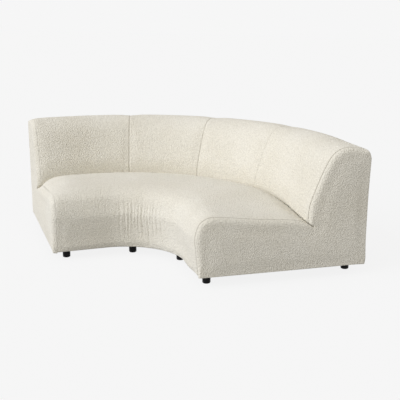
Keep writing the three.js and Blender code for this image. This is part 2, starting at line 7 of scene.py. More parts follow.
import bmesh
import bpy
import numpy as np
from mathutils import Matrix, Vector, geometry


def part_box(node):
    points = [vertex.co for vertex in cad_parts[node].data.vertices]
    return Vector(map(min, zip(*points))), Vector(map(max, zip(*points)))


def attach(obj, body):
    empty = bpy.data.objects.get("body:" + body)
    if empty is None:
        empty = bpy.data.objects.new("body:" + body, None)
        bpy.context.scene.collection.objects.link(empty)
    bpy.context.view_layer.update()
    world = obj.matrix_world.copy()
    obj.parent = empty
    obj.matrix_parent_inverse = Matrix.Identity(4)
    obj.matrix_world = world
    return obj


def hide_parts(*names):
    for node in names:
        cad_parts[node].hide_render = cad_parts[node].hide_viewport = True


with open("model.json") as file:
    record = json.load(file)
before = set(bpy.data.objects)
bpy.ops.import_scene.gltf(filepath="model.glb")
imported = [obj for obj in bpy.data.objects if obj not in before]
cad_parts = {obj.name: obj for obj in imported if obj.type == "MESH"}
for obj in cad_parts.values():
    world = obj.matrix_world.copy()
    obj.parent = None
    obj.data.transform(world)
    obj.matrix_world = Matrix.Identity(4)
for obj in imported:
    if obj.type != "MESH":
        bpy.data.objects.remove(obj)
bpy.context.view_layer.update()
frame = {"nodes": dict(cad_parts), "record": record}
record = frame["record"]
nodes = frame["nodes"]
scene = bpy.context.scene

# Plan: an arc with a straight stretch at each end
FRONT_RADIUS = 0.380
HALF_ANGLE = math.radians(46.8)
STRAIGHT_END = 0.340
BODY_DEPTH = 1.040
MIDDLE_DEPTH = 0.500
ARC_CENTRE_Y = -0.72229
MIDDLE_RADIUS = FRONT_RADIUS + MIDDLE_DEPTH
BEND_END = HALF_ANGLE * MIDDLE_RADIUS
HALF_LENGTH = BEND_END + STRAIGHT_END
EDGE_ROLL = 0.028
END_SEAM = HALF_LENGTH - EDGE_ROLL

# Seat
UNDERSIDE = 0.060
SEAT_HEIGHT = 0.408
NOSE_REACH = 0.111
SEAT_CROWN = 0.062
CREVICE_DROP = 0.097
CREVICE_RISE = 0.048
CREVICE_ADVANCE = 0.022
LEFT_CROWN_FADE = 0.160
RIGHT_CROWN_FADE = 0.590
CREVICE_HEIGHT = SEAT_HEIGHT - CREVICE_DROP

# Back
TOTAL_HEIGHT = 0.766
BACK_THICKNESS = 0.338
REAR_SEAM_HEIGHT = 0.700
REAR_SWELL = 0.005
SEAM_ANGLES = [math.radians(angle) for angle in (-30, -3, 24)]
SEAMS = [angle * MIDDLE_RADIUS for angle in SEAM_ANGLES]
PANEL_EDGES = [-END_SEAM, *SEAMS, END_SEAM]
PANELS = len(PANEL_EDGES) - 1
CREVICE_DEPTH = BODY_DEPTH - BACK_THICKNESS

# Inside: where the padding ends on the frame
DECK = 0.272
TUCK_FRONT = 0.070
TUCK_FOOT = CREVICE_DEPTH + 0.038
TUCK_REAR = BODY_DEPTH - 0.070
FRONT_FACE = 0.052
BOARD_FOOT = TUCK_FOOT + 0.020
BOARD_TOP = 0.848
RAIL_TOP = 0.7175
REAR_FACE = 1.0165
CLEAR = 0.002
SEAT_INNER_REAR = TUCK_FOOT - 0.030
SEAT_INNER_FOOT = UNDERSIDE + 0.010

# Rolled edges of the ends
EDGE_ROUND = 0.036
EDGE_ROLL_FADE = 0.120
NOTCH_ROLL_FADE = 0.110
REAR_ROLL_SHARE = 0.25
BOTTOM_ROLL_SHARE = 0.15
NOTCH_ROLL_SHARE = 0.16

# Sewing, and the painted shade that darkens the fabric's colour along its seams
PRESS_GAP = 0.0012
SEAM_SINK = 0.004
SEAM_WIDTH = 0.008
FOLD_DEPTH = 0.0012
FOLD_PLACE = 0.027
FOLD_HALF = 0.006
# How wide and how strong the painted shade along the seams is
SEAM_SHADE_WIDTH = 0.006
EDGE_SEAM_SHADE_WIDTH = 0.009
PANEL_SEAM_SHADE = 0.2
PANEL_SEAM_SHARES = (0.8, 0.8, 0.5)
EDGE_SEAM_SINK = 0.008
EDGE_SEAM_WIDTH = 0.011
EDGE_SEAM_POWER = 4
REAR_SEAM_STEPS = 4
REAR_SEAM_SHADE_STEP = 0.003

# Left end: a wide soft shoulder runs over the seam, so no groove shows
SHOULDER_REACH = 0.020
SHOULDER_INSET = 0.034
SHOULDER_WIDTH = SHOULDER_REACH + EDGE_ROLL
SLOPE_STEP = 0.002
STEEPEST_SLOPE = 1.2

# Hem of the front: it hangs a little below the frame, but not at the right end
HEM_DROP = 0.009
HEM_ADVANCE = 0.008
HEM_HEIGHT = 0.100
HEM_FRONT = 0.030
HEM_REAR = 0.056
HEM_FADE = 0.220

# Outlines, as shares of the sizes above, like the frame's own
FRONT_SHARES = [
    (0.11, 0, 0), (-0.04, 0.5, 0), (-0.075, 0.66, 0), (0.075, 0.84, 0.1), (0.35, 0.95, 0.15), (1, 1, 0.22),
]
SLOPE_SHARES = [(0.396, 0.277, 0.85), (0.832, 0.545, 0.95)]
BACK_SHARES = [
    (-0.095, 0), (-0.095, 0.126), (-0.065, 0.27), (0.045, 0.499), (0.18, 0.737), (0.325, 0.917),
    (0.53, 1), (0.78, 0.99), (0.955, 0.952),
]
REAR_SHARES = [(1, 1), (-0.6, 0.66), (-1, 0.28), (-0.8, 0.08), (-2.4, 0)]

# Points of the skins, and how much closer together they are at both ends
SKIN_POINTS = 400
NOSE_POINTS = 200
REAR_POINTS = 200
SKIN_PULL = 0.6
BACK_PULL = 0.55
BOTTOM_PULL = 0.4
EDGE_STEPS = 8
EDGE_REACH = 0.022
EDGE_PULL = 1.6

# Rounding of corners: how many points each way, and how often
HEM_SOFTNESS = (4, 14)
CREVICE_SOFTNESS = (3, 6)
FOOT_SOFTNESS = (5, 10)

TINY = 1e-9
WHITE = (1.0, 1.0, 1.0)


# Lines and places

def smoothstep(value, low, high):
    share = np.clip((np.asarray(value, float) - low) / (high - low), 0, 1)
    return share * share * (3 - 2 * share)


def bell(off, half):
    return np.exp(-(off / half) ** 2)


def place(along, depth, height):
    """Points of the row frame from a way along the middle line, a depth and a height."""
    along, depth, height = np.broadcast_arrays(along, depth, height)
    bend = np.clip(along, -BEND_END, BEND_END)
    angle = bend / MIDDLE_RADIUS
    run = along - bend
    radius = FRONT_RADIUS + depth
    x = np.sin(angle) * radius + np.cos(angle) * run
    y = ARC_CENTRE_Y + np.cos(angle) * radius - np.sin(angle) * run
    return np.stack([x, y, height], axis=-1)


def spline(points, count):
    """A smooth line through the points, with the same number of steps between each two."""
    p = np.asarray(points, float)
    last = len(p) - 1
    t = np.linspace(0, last, count)
    i = np.minimum(t.astype(int), last - 1)
    f = (t - i)[:, None]
    a, b = p[i], p[i + 1]
    leave = (b - p[np.maximum(i - 1, 0)]) / 2
    arrive = (p[np.minimum(i + 2, last)] - a) / 2
    cube = 2 * a - 2 * b + leave + arrive
    square = 3 * b - 3 * a - 2 * leave - arrive
    return cube * f ** 3 + square * f ** 2 + leave * f + a


def resample(line, count, pull=0.0):
    """A line again with its points spread evenly, or closer together at both ends by the pull."""
    steps = np.linalg.norm(np.diff(line, axis=0), axis=1)
    far = np.concatenate([[0], np.cumsum(steps)])
    t = np.linspace(0, 1, count)
    wanted = (t - pull * np.sin(2 * math.pi * t) / (2 * math.pi)) * far[-1]
    return np.stack([np.interp(wanted, far, line[:, k]) for k in range(line.shape[1])], axis=1)


def soften(line, corner, reach, rounds):
    """Rounds the corner at one point of a line."""
    share = np.clip(1 - np.abs(np.arange(len(line)) - corner) / reach, 0, 1)[:, None]
    for _ in range(rounds):
        between = line.copy()
        between[1:-1] = (line[:-2] + line[2:]) / 2
        line = line + (between - line) * share
    return line


def crown_at(along):
    from_end = END_SEAM - abs(along)
    if along < 0:
        return 1 - (1 - min(max(from_end / LEFT_CROWN_FADE, 0), 1)) ** 3
    return float(smoothstep(from_end, 0, RIGHT_CROWN_FADE))


def crevice_at(along):
    crown = crown_at(along)
    return np.array([CREVICE_DEPTH - CREVICE_ADVANCE * crown, CREVICE_HEIGHT + CREVICE_RISE * crown])


def seat_skin(along):
    """The seat's skin from the foot of the front face to the crevice."""
    lift = SEAT_CROWN * crown_at(along)
    crevice = crevice_at(along)
    rise = SEAT_HEIGHT - UNDERSIDE
    reach = crevice[0] - NOSE_REACH
    front = [(NOSE_REACH * r, UNDERSIDE + rise * h + lift * c) for r, h, c in FRONT_SHARES]
    slope = [(NOSE_REACH + reach * w, SEAT_HEIGHT - CREVICE_DROP * d + lift * c) for w, d, c in SLOPE_SHARES]
    return spline([*front, *slope, crevice], SKIN_POINTS)


def back_skin(along):
    """The back's skin: from the crevice forwards on the seat, then up the face and over to the rear seam."""
    seat = seat_skin(along)
    front = CREVICE_DEPTH + BACK_THICKNESS * BACK_SHARES[0][0]
    behind = (seat[:, 0] > front) & (np.arange(SKIN_POINTS) > NOSE_POINTS)
    start = crevice_at(along) + [PRESS_GAP, PRESS_GAP]
    resting = np.concatenate([[start], seat[behind][::-1] + [0, PRESS_GAP]])
    foot = np.interp(front, seat[NOSE_POINTS:, 0], seat[NOSE_POINTS:, 1]) + PRESS_GAP
    rise = TOTAL_HEIGHT - foot
    face = [(CREVICE_DEPTH + BACK_THICKNESS * d, foot + rise * h) for d, h in BACK_SHARES]
    return resting, spline([*face, (BODY_DEPTH + REAR_SWELL, REAR_SEAM_HEIGHT)], SKIN_POINTS)


def rear_skin():
    rise = REAR_SEAM_HEIGHT - UNDERSIDE
    return spline([(BODY_DEPTH + REAR_SWELL * s, UNDERSIDE + rise * h) for s, h in REAR_SHARES], REAR_POINTS)


# Meshes

def new_object(name, data):
    made = bpy.data.objects.new(name, data)
    scene.collection.objects.link(made)
    return made


def new_mesh(name, points, faces):
    mesh = bpy.data.meshes.new(name)
    mesh.from_pydata([tuple(p) for p in points], [], [tuple(int(i) for i in f) for f in faces])
    return mesh


def face_outward(mesh):
    shell = bmesh.new()
    shell.from_mesh(mesh)
    bmesh.ops.recalc_face_normals(shell, faces=shell.faces)
    shell.to_mesh(mesh)
    shell.free()


def new_piece(name, points, faces, material, painted_seam_shade=None):
    """A smooth-shaded piece, with the painted shade of its seams, a darker colour, at each point where that
    is given.
    """
    mesh = new_mesh(name, points, faces)
    mesh.validate()
    face_outward(mesh)
    mesh.polygons.foreach_set("use_smooth", [True] * len(mesh.polygons))
    mesh.materials.append(material)
    if painted_seam_shade is not None:
        layer = mesh.attributes.new("painted_seam_shade", "FLOAT", "POINT")
        layer.data.foreach_set("value", np.asarray(painted_seam_shade, np.float32))
    mesh.update()
    return new_object(name, mesh)


def ring_faces(rings, count):
    """Four-sided faces between closed rings of the same number of points."""
    ring, i = np.meshgrid(np.arange(rings - 1), np.arange(count), indexing="ij")
    here = ring * count
    above = here + count
    after = (i + 1) % count
    return np.stack([here + i, here + after, above + after, above + i], axis=-1).reshape(-1, 4)


def closed_faces(rings, count):
    """The same, and a face over the first ring and over the last."""
    faces = [list(face) for face in ring_faces(rings, count)]
    faces.append(list(range(count - 1, -1, -1)))
    faces.append([(rings - 1) * count + i for i in range(count)])
    return faces


def outward(grid):
    """Directions outwards at the points of a skin."""
    normal = np.cross(np.gradient(grid, axis=0), np.gradient(grid, axis=1))
    return normal / np.maximum(np.linalg.norm(normal, axis=-1, keepdims=True), TINY)


def grid_piece(name, grid, inside, painted_seam_shade):
    """A closed piece of fabric: skin points, one row for each cross-section, shut by points inside."""
    rows, skin = grid.shape[:2]
    points = np.concatenate([grid, inside], axis=1)
    shade = np.concatenate([np.broadcast_to(painted_seam_shade, (rows, skin)), np.zeros(inside.shape[:2])], axis=1)
    return new_piece(name, points.reshape(-1, 3), closed_faces(*shade.shape), FABRIC, shade.reshape(-1))


def along_steps(start, end, step):
    """Places of the cross-sections, closer together near both ends."""
    edge = EDGE_REACH * np.linspace(0, 1, EDGE_STEPS) ** EDGE_PULL
    count = max(3, int(round((end - start) / step)))
    middle = np.linspace(start + EDGE_REACH, end - EDGE_REACH, count)
    return np.concatenate([start + edge[:-1], middle, (end - edge[:-1])[::-1]])


def sink_towards(grid, normals, amount):
    return grid - normals * amount[..., None]


def seam_profile(distance, width, sink, power=2):
    """How far a skin goes in at a distance from a seam."""
    return sink * np.clip(1 - distance / width, 0, 1) ** power


def end_profile(distance):
    return seam_profile(distance, EDGE_SEAM_WIDTH, EDGE_SEAM_SINK, EDGE_SEAM_POWER)


def seam_shade_at(distance, width=SEAM_SHADE_WIDTH):
    """How dark the painted shade along a seam is at a distance from it."""
    return np.clip(1 - distance / width, 0, 1) ** 2


def rear_seam(steps):
    """How far a skin goes in at a number of points from the rear seam, and how dark the painted seam shade
    is there.
    """
    sink = np.clip(1 - steps / REAR_SEAM_STEPS, 0, 1) ** 2 * SEAM_SINK
    return sink[None], seam_shade_at(REAR_SEAM_SHADE_STEP * steps)[None]


def hemmed(line, along):
    """Lines of the skin with the front's hem let down."""
    loose = 1 - smoothstep(along, END_SEAM - HEM_FADE, END_SEAM)
    near = 1 - smoothstep(line[..., 0], HEM_FRONT, HEM_REAR)
    low = 1 - smoothstep(line[..., 1], UNDERSIDE, UNDERSIDE + HEM_HEIGHT)
    return line - (low * near * loose)[..., None] * np.array([HEM_ADVANCE, HEM_DROP])


def roll_share(line):
    """How much of its full round an end's edge has at points of its outline."""
    low = smoothstep(line[..., 1], UNDERSIDE, UNDERSIDE + EDGE_ROLL_FADE)
    rear = smoothstep(line[..., 0], BODY_DEPTH - 2 * EDGE_ROUND, BODY_DEPTH)
    away = np.linalg.norm(line - crevice_at(END_SEAM), axis=-1)
    notch = NOTCH_ROLL_SHARE + (1 - NOTCH_ROLL_SHARE) * smoothstep(away, 0, NOTCH_ROLL_FADE)
    return (1 + (REAR_ROLL_SHARE - 1) * rear) * notch * (BOTTOM_ROLL_SHARE + (1 - BOTTOM_ROLL_SHARE) * low)


def shoulder(way):
    """How far the left end's shoulder has gone in at a way from where it starts."""
    share = np.clip(way / SHOULDER_WIDTH, 0, 1)
    return SHOULDER_INSET * (1 - np.sqrt(1 - share ** 2))


def left_sink(distance, lines):
    """How far the skin of the row goes in at distances from the left end's seam."""
    return shoulder(SHOULDER_REACH - distance)[:, None] * roll_share(lines)


# Cloth

CLOTH_FRAMES = 20
CLOTH_SETTINGS = {
    "quality": 4,
    "mass": 0.35,
    "tension_stiffness": 12,
    "compression_stiffness": 12,
    "shear_stiffness": 6,
    "bending_stiffness": 2.5,
    "use_pressure": True,
    "vertex_group_mass": "held",
    "pin_stiffness": 1.0,
}
WEIGHT_DIGITS = 2
WEIGHT_REACH = 0.005
COARSE = 2


def relaxed(points, faces, held, pressure, limit):
    """How far each point of a padded form moves when its cover is blown tight and settles."""
    mesh = new_mesh("trial", points, faces)
    face_outward(mesh)
    trial = new_object("trial", mesh)
    group = trial.vertex_groups.new(name="held")
    for weight in np.unique(np.round(held, WEIGHT_DIGITS)):
        if weight > 0:
            members = np.where(np.abs(held - weight) < WEIGHT_REACH)[0]
            group.add([int(i) for i in members], float(weight), "REPLACE")
    cloth = trial.modifiers.new("Cloth", "CLOTH")
    for name, value in CLOTH_SETTINGS.items():
        setattr(cloth.settings, name, value)
    cloth.settings.uniform_pressure_force = pressure
    cloth.settings.effector_weights.gravity = 0
    cloth.collision_settings.use_collision = False
    cloth.point_cache.frame_start = 1
    cloth.point_cache.frame_end = CLOTH_FRAMES
    for number in range(1, CLOTH_FRAMES + 1):
        scene.frame_set(number)
    settled = trial.evaluated_get(bpy.context.evaluated_depsgraph_get())
    moved = np.zeros(len(points) * 3)
    settled.data.vertices.foreach_get("co", moved)
    moved = moved.reshape(-1, 3) - points
    scene.frame_set(1)
    bpy.data.objects.remove(trial)
    bpy.data.meshes.remove(mesh)
    size = np.linalg.norm(moved, axis=1, keepdims=True)
    return moved * np.minimum(1, limit / np.maximum(size, TINY))


def spread(values, marks, count):
    """Values that are known at the marks of their first axis, worked out at every place of it."""
    flat = values.reshape(len(marks), -1)
    full = np.stack([np.interp(np.arange(count), marks, column) for column in flat.T], axis=1)
    return full.reshape(count, *values.shape[1:])


def relaxed_grid(grid, inside, held, pressure, limit):
    """How a grid piece moves, worked out on every other row and column and spread over all."""
    rows, columns = grid.shape[:2]
    r = np.unique(np.append(np.arange(0, rows, COARSE), rows - 1))
    c = np.unique(np.append(np.arange(0, columns, COARSE), columns - 1))
    coarse = np.concatenate([grid[np.ix_(r, c)], inside[r]], axis=1)
    weights = np.ones(coarse.shape[:2])
    weights[:, :len(c)] = held[np.ix_(r, c)]
    faces = closed_faces(*weights.shape)
    moved = relaxed(coarse.reshape(-1, 3), faces, weights.reshape(-1), pressure, limit)
    moved = moved.reshape(coarse.shape)[:, :len(c)]
    moved = spread(moved.swapaxes(0, 1), c, columns).swapaxes(0, 1)
    moved = spread(moved, r, rows)
    for _ in range(2 * COARSE):
        moved[1:-1] = (moved[:-2] + 2 * moved[1:-1] + moved[2:]) / 4
        moved[:, 1:-1] = (moved[:, :-2] + 2 * moved[:, 1:-1] + moved[:, 2:]) / 4
    return moved


def held_columns(columns, first, first_fade, last, last_fade):
    """How firmly each column of a skin is held: less and less after the first, more after the last."""
    index = np.arange(columns)
    return np.maximum(1 - (index - first) / first_fade, (index - last) / last_fade)


def settled_skin(places, lines, inner, firm, end_hold, pressure, limit):
    """A skin whose cover has settled, the points inside that shut it, and its directions outwards."""
    inner = np.array(inner)
    grid = place(places[:, None], lines[..., 0], lines[..., 1])
    inside = place(places[:, None], inner[None, :, 0], inner[None, :, 1])
    from_end = np.minimum(places - places[0], places[-1] - places)
    held = np.clip(np.maximum(firm[None], (1 - from_end / end_hold)[:, None]), 0, 1)
    moved = relaxed_grid(grid, inside, held, pressure, limit)
    return grid + moved * (1 - held)[..., None], inside, outward(grid)


# Materials

def connect(tree, value, socket):
    """Links an output to a socket, or sets a plain value on it."""
    if hasattr(value, "links"):
        tree.links.new(value, socket)
    else:
        socket.default_value = value


class Paint:
    """A material and short ways to add nodes to it."""

    def __init__(self, name, roughness, metallic=0.0):
        self.material = bpy.data.materials.new(name)
        self.material.use_nodes = True
        self.tree = self.material.node_tree
        self.shader = self.tree.nodes["Principled BSDF"]
        self.shader.inputs["Roughness"].default_value = roughness
        self.shader.inputs["Metallic"].default_value = metallic
        self.where = self.tree.nodes.new("ShaderNodeTexCoord").outputs["Object"]

    def put(self, value, socket):
        connect(self.tree, value, socket)

    def add(self, kind, **values):
        made = self.tree.nodes.new(kind)
        for key, value in values.items():
            if key in made.inputs:
                self.put(value, made.inputs[key])
            else:
                setattr(made, key, value)
        return made

    def noise(self, scale, detail=3.0, rough=0.5, where=None):
        made = self.add("ShaderNodeTexNoise", Scale=scale, Detail=detail, Roughness=rough)
        self.put(where or self.where, made.inputs["Vector"])
        return made.outputs["Fac"]

    def ramp(self, value, *stops):
        """A colour that runs between two stops, each a value and its colour."""
        made = self.add("ShaderNodeValToRGB", Fac=value)
        for element, (at, colour) in zip(made.color_ramp.elements, stops):
            element.position = at
            element.color = (*colour, 1)
        return made.outputs["Color"]

    def maths(self, operation, *values):
        made = self.add("ShaderNodeMath", operation=operation)
        for value, socket in zip(values, made.inputs):
            self.put(value, socket)
        return made.outputs["Value"]

    def multiplied(self, a, b, share=1.0):
        made = self.add("ShaderNodeMix", data_type="RGBA", blend_type="MULTIPLY")
        for value, number in ((share, 0), (a, 6), (b, 7)):
            self.put(value, made.inputs[number])
        return made.outputs[2]

    def bump(self, height, strength, distance, after=None):
        made = self.add("ShaderNodeBump", Strength=strength, Distance=distance, Height=height)
        if after is not None:
            self.put(after, made.inputs["Normal"])
        self.put(made.outputs["Normal"], self.shader.inputs["Normal"])
        return made.outputs["Normal"]

    def colour(self, output):
        self.put(output, self.shader.inputs["Base Color"])


def linear(red, green, blue):
    """A colour written as screen values, each from 11 to 255."""
    return tuple(((value / 255 + 0.055) / 1.055) ** 2.4 for value in (red, green, blue))


def boucle():
    """Looped cream wool: small knots with shade between them, uneven tone, a soft bloom, and painted shade
    along the seams.
    """
    paint = Paint("boucle_cream", roughness=0.95)
    warp = paint.add("ShaderNodeTexNoise", Vector=paint.where, Scale=55.0, Detail=2.0)
    shifted = paint.add("ShaderNodeVectorMath", operation="MULTIPLY_ADD")
    for value, socket in zip((warp.outputs["Color"], (0.010, 0.010, 0.010), paint.where), shifted.inputs):
        paint.put(value, socket)
    loops = paint.add(
        "ShaderNodeTexVoronoi", feature="SMOOTH_F1", Vector=shifted.outputs[0],
        Scale=130.0, Smoothness=0.35, Randomness=1.0,
    )
    knots = paint.maths("SUBTRACT", 1.0, loops.outputs["Distance"])
    fine = paint.noise(scale=420.0, detail=3.0, rough=0.6)
    relief = paint.maths("ADD", knots, paint.maths("MULTIPLY", fine, 0.35))
    uneven = paint.noise(scale=2.6, detail=4.0, rough=0.55)
    tone = paint.ramp(uneven, (0.35, linear(233, 228, 213)), (0.65, linear(239, 235, 222)))
    shade = paint.ramp(knots, (0.30, (0.88, 0.875, 0.86)), (0.66, WHITE))
    cloudy = paint.noise(scale=34.0, detail=3.0, rough=0.6)
    patch = paint.ramp(cloudy, (0.3, (0.98, 0.98, 0.978)), (0.7, WHITE))
    # Painted shade along the seams: a per-point attribute, highest at each seam, darkens the colour to a dim
    # brown-grey in place of the shadow there.
    painted_seam_shade = paint.add("ShaderNodeAttribute", attribute_name="painted_seam_shade")
    seam_shade_colour = paint.ramp(painted_seam_shade.outputs["Fac"], (0.0, WHITE), (1.0, (0.42, 0.40, 0.36)))
    cloth = paint.multiplied(paint.multiplied(tone, shade), patch)
    paint.colour(paint.multiplied(cloth, seam_shade_colour))
    soft = paint.bump(paint.noise(scale=30.0, detail=2.0, rough=0.5), strength=0.05, distance=0.004)
    paint.bump(relief, strength=1.0, distance=0.0045, after=soft)
    paint.shader.inputs["Sheen Weight"].default_value = 0.22
    paint.shader.inputs["Sheen Roughness"].default_value = 0.6
    paint.shader.inputs["Specular IOR Level"].default_value = 0.2
    return paint.material


def leg_plastic():
    """Black moulded plastic with a fine grain and slightly uneven tone and gloss."""
    paint = Paint("leg_black_plastic", roughness=0.38)
    uneven = paint.noise(scale=60.0, detail=4.0, rough=0.6)
    paint.colour(paint.ramp(uneven, (0.3, linear(11, 11, 12)), (0.8, linear(19, 19, 21))))
    gloss = paint.noise(scale=140.0, detail=3.0, rough=0.6)
    paint.put(paint.maths("MULTIPLY_ADD", gloss, 0.25, 0.28), paint.shader.inputs["Roughness"])
    paint.bump(paint.noise(scale=900.0, detail=2.0, rough=0.5), strength=0.15, distance=0.0004)
    paint.shader.inputs["Specular IOR Level"].default_value = 0.12
    return paint.material


def plywood():
    """Birch plywood: a long grain, and darker lines between the plies."""
    paint = Paint("birch_plywood", roughness=0.62)
    plies = paint.add(
        "ShaderNodeTexWave", wave_type="BANDS", bands_direction="Z", Vector=paint.where,
        Scale=110.0, Distortion=0.6,
    )
    long_way = paint.add("ShaderNodeMapping", Vector=paint.where, Scale=(1.0, 1.0, 9.0))
    grain = paint.noise(scale=18.0, detail=6.0, rough=0.6, where=long_way.outputs["Vector"])
    tone = paint.ramp(grain, (0.3, linear(176, 138, 92)), (0.7, linear(214, 182, 134)))
    band = paint.ramp(plies.outputs["Fac"], (0.2, (0.72, 0.68, 0.62)), (0.6, WHITE))
    paint.colour(paint.multiplied(tone, band, share=0.6))
    paint.bump(grain, strength=0.2, distance=0.001)
    return paint.material


def hardboard():
    paint = Paint("brown_hardboard", roughness=0.7)
    flecks = paint.noise(scale=260.0, detail=5.0, rough=0.7)
    paint.colour(paint.ramp(flecks, (0.3, linear(104, 76, 52)), (0.75, linear(150, 116, 84))))
    paint.bump(flecks, strength=0.25, distance=0.0008)
    return paint.material


def webbing():
    paint = Paint("elastic_webbing", roughness=0.85)
    ribs = paint.add(
        "ShaderNodeTexWave", wave_type="BANDS", bands_direction="DIAGONAL", Vector=paint.where,
        Scale=160.0, Distortion=0.2,
    ).outputs["Fac"]
    paint.colour(paint.ramp(ribs, (0.2, linear(34, 32, 31)), (0.8, linear(88, 84, 80))))
    paint.bump(ribs, strength=0.5, distance=0.0006)
    return paint.material


def bolt_steel():
    paint = Paint("zinc_plated_steel", roughness=0.35, metallic=1.0)
    wear = paint.noise(scale=220.0, detail=4.0, rough=0.6)
    paint.colour(paint.ramp(wear, (0.3, linear(150, 152, 156)), (0.8, linear(196, 198, 202))))
    paint.bump(wear, strength=0.2, distance=0.0003)
    return paint.material


def nonwoven():
    """Black spun cloth with a pattern of small pressed dots."""
    paint = Paint("black_nonwoven", roughness=0.9)
    dots = paint.add(
        "ShaderNodeTexVoronoi", feature="F1", Vector=paint.where, Scale=330.0, Randomness=0.25,
    ).outputs["Distance"]
    fibre = paint.noise(scale=500.0, detail=4.0, rough=0.7)
    tone = paint.ramp(fibre, (0.3, linear(20, 20, 22)), (0.8, linear(46, 46, 49)))
    pressed = paint.ramp(dots, (0.15, (0.6, 0.6, 0.6)), (0.35, WHITE))
    paint.colour(paint.multiplied(tone, pressed))
    paint.bump(dots, strength=0.4, distance=0.0005)
    return paint.material


FABRIC = boucle()
FINISHES = {
    "boucle": FABRIC,
    "foam": FABRIC,
    "wadding": FABRIC,
    "plywood": plywood(),
    "hardboard": hardboard(),
    "elastic_webbing": webbing(),
    "leg_plastic": leg_plastic(),
    "bolt_steel": bolt_steel(),
    "nonwoven": nonwoven(),
}


def finish_nodes():
    """Gives every node of the frame the material of its slot."""
    for entry in record["subparts"]:
        node = nodes[entry["node"]]
        node.data.materials.clear()
        node.data.materials.append(FINISHES[entry["material_slot"]])


# Seat: the step along the row, points under the frame, on the skin and in the tuck, points held

SEAT_STEP = 0.0085
SEAT_UNDER, SEAT_SKIN, SEAT_TUCK = 9, 132, 12
SEAT_FRONT_HOLD, SEAT_REAR_HOLD = SEAT_UNDER + 8, 10
SEAT_CLOTH = {"end_hold": 0.05, "pressure": 5.0, "limit": 0.007}

# Gathers in the hollow of the front: way along and height of the top, the same of the foot,
# how far the foot kicks out, depth and half width
GATHERS = [
    (-0.520, 0.365, -0.520, 0.130, 0.000, 0.0021, 0.0065),
    (-0.478, 0.310, -0.474, 0.140, 0.000, 0.0013, 0.0055),
    (-0.440, 0.370, -0.442, 0.115, 0.004, 0.0027, 0.0065),
    (-0.392, 0.375, -0.388, 0.120, 0.004, 0.0025, 0.0060),
    (-0.345, 0.385, -0.325, 0.170, 0.000, 0.0024, 0.0060),
    (-0.292, 0.345, -0.286, 0.160, 0.000, 0.0015, 0.0055),
    (-0.240, 0.370, -0.232, 0.130, 0.000, 0.0022, 0.0055),
    (-0.186, 0.375, -0.170, 0.110, 0.020, 0.0031, 0.0065),
    (-0.140, 0.340, -0.126, 0.140, 0.010, 0.0018, 0.0055),
    (-0.096, 0.350, -0.074, 0.100, 0.010, 0.0029, 0.0065),
    (-0.048, 0.330, -0.036, 0.160, 0.000, 0.0015, 0.0055),
    (-0.004, 0.370, 0.006, 0.165, 0.000, 0.0026, 0.0060),
    (0.066, 0.345, 0.074, 0.130, 0.000, 0.0028, 0.0060),
    (0.140, 0.350, 0.168, 0.080, 0.045, 0.0030, 0.0070),
]
GATHER_DEPTHS = (0.03, 0.12)
KICK_START = 0.6
KICK_GAIN = 4
WANDER = 0.005
WANDER_WAVE = 43
WANDER_SHIFT = 70
RIDGE_PLACE = 1.8
RIDGE_WIDTH = 1.1
RIDGE_HEIGHT = 0.5
FAR_RIDGE_SHARE = 0.6
GATHER_FOOT_FADE = (-0.04, 0.06)
GATHER_TOP_FADE = (-0.08, 0.03)


def seat_line(along):
    """A cross-section of the seat's cover, with its tucks under the frame and into the crevice."""
    skin = resample(seat_skin(along), SEAT_SKIN, SKIN_PULL)
    under = np.linspace((TUCK_FRONT, UNDERSIDE), skin[0], SEAT_UNDER)
    tuck = np.linspace(skin[-1], (TUCK_FOOT, DECK), SEAT_TUCK)
    line = np.concatenate([under[:-1], skin, tuck[1:]])
    line = soften(line, SEAT_UNDER - 1, *HEM_SOFTNESS)
    return soften(line, SEAT_UNDER + SEAT_SKIN - 2, *CREVICE_SOFTNESS)


def gather_depth(along, height, depth):
    """How far the cover is drawn in by the gathers at a point of the front."""
    shown = 1 - smoothstep(depth, *GATHER_DEPTHS)
    pull = np.zeros_like(height)
    scale = (FRONT_RADIUS + depth) / MIDDLE_RADIUS
    for top_along, top, foot_along, foot, kick, deep, half in GATHERS:
        way = (top - height) / (top - foot)
        kicked = kick * np.clip(way - KICK_START, 0, 1) ** 2 * KICK_GAIN
        line = top_along + (foot_along - top_along) * way + kicked
        line = line + WANDER * np.sin(height * WANDER_WAVE + top_along * WANDER_SHIFT)
        off = (along - line) * scale
        near = bell(off - RIDGE_PLACE * half, RIDGE_WIDTH * half)
        ridge = near + FAR_RIDGE_SHARE * bell(off + RIDGE_PLACE * half, RIDGE_WIDTH * half)
        window = smoothstep(height, *(foot + fade for fade in GATHER_FOOT_FADE))
        window = window * (1 - smoothstep(height, *(top + fade for fade in GATHER_TOP_FADE)))
        pull += deep * window * (bell(off, half) - RIDGE_HEIGHT * ridge)
    return pull * shown


